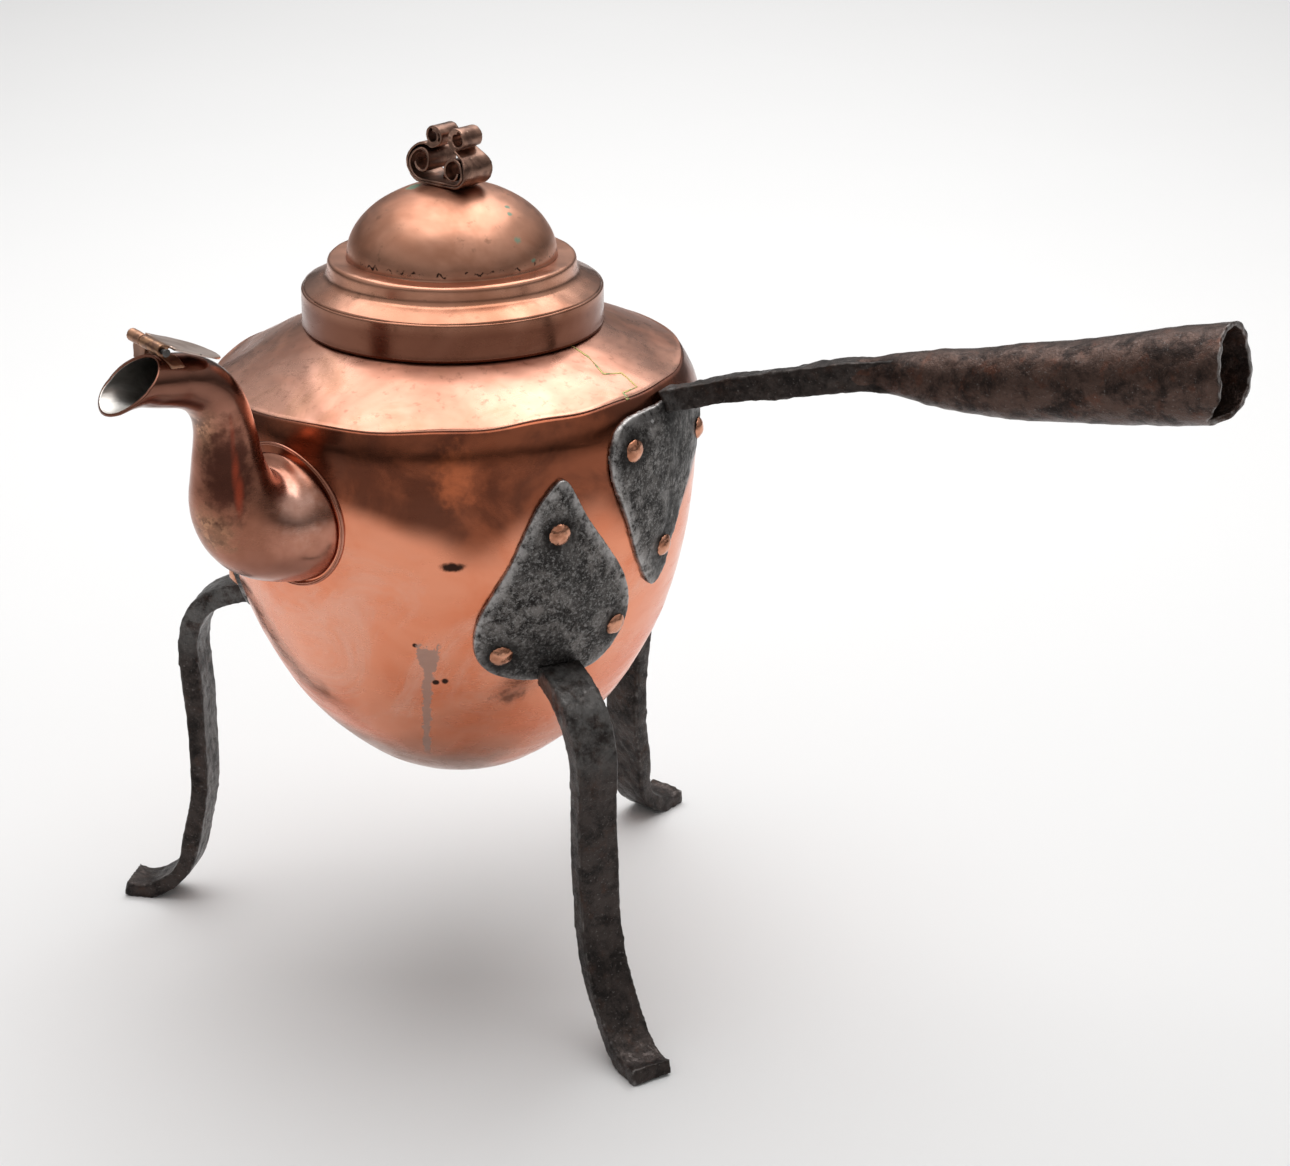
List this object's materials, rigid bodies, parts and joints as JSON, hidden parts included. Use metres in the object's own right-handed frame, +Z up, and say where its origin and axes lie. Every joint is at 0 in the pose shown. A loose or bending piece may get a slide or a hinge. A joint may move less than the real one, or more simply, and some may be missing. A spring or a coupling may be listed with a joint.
{
  "type": "three-legged coffee kettle",
  "caption": "Round-bottomed copper coffee kettle on riveted iron legs, with an iron socket handle, a spout with a hinged flap and a lift-off lid with a scroll knob.",
  "frame": {"origin": "on the pot's axis at floor level, between the three soles", "axes": "+X along the handle, away from the pot; +Z up; the spout points 101 degrees clockwise from +X seen from above"},
  "size_m": [0.4825, 0.3302, 0.357],
  "materials": {
    "pot_copper": "worn polished copper",
    "lid_copper": "worn polished copper, browner",
    "aged_copper": "dark aged copper",
    "rivet_copper": "hammered copper",
    "tinned_copper": "copper sheet with worn tinning",
    "hammered_iron": "hammered plate with bright worn edges",
    "forged_iron": "forged, pitted and blackened",
    "iron_pin": "drawn wire"
  },
  "bodies": {
    "pot": {"pot_bottom": "pot_copper", "pot_side": "pot_copper", "pot_shoulder": "pot_copper", "neck_collar": "pot_copper", "spout_strainer": "pot_copper", "spout_base": "pot_copper", "spout_neck": "pot_copper", "spout_seat_ring": "pot_copper", "flap_hinge_leaf": "aged_copper", "flap_pin": "iron_pin", "handle_plate": "hammered_iron", "handle_rivets": "rivet_copper", "handle_arm": "forged_iron", "handle_socket": "forged_iron", "front_leg_plate": "hammered_iron", "front_leg_bar": "forged_iron", "front_leg_rivets": "rivet_copper", "back_leg_plate": "hammered_iron", "back_leg_bar": "forged_iron", "back_leg_rivets": "rivet_copper", "left_leg_plate": "hammered_iron", "left_leg_bar": "forged_iron", "left_leg_rivets": "rivet_copper"},
    "lid": {"lid_band": "lid_copper", "lid_step": "lid_copper", "lid_dome": "lid_copper", "knob_outer_scroll": "aged_copper", "knob_inner_scroll": "aged_copper", "knob_rivet": "rivet_copper"},
    "flap": {"spout_flap": "tinned_copper"}
  },
  "joints": [
    {"name": "lid_lift", "type": "slide", "parent": "pot", "child": "lid", "axis": [0, 0, 1], "range_m": [0, 0.12]},
    {"name": "flap_hinge", "type": "hinge", "parent": "pot", "child": "flap", "pos_m": [-0.03059, -0.15735, 0.303], "axis": [0.9361, -0.3407, -0.0872], "range_deg": [0, 240]}
  ]
}
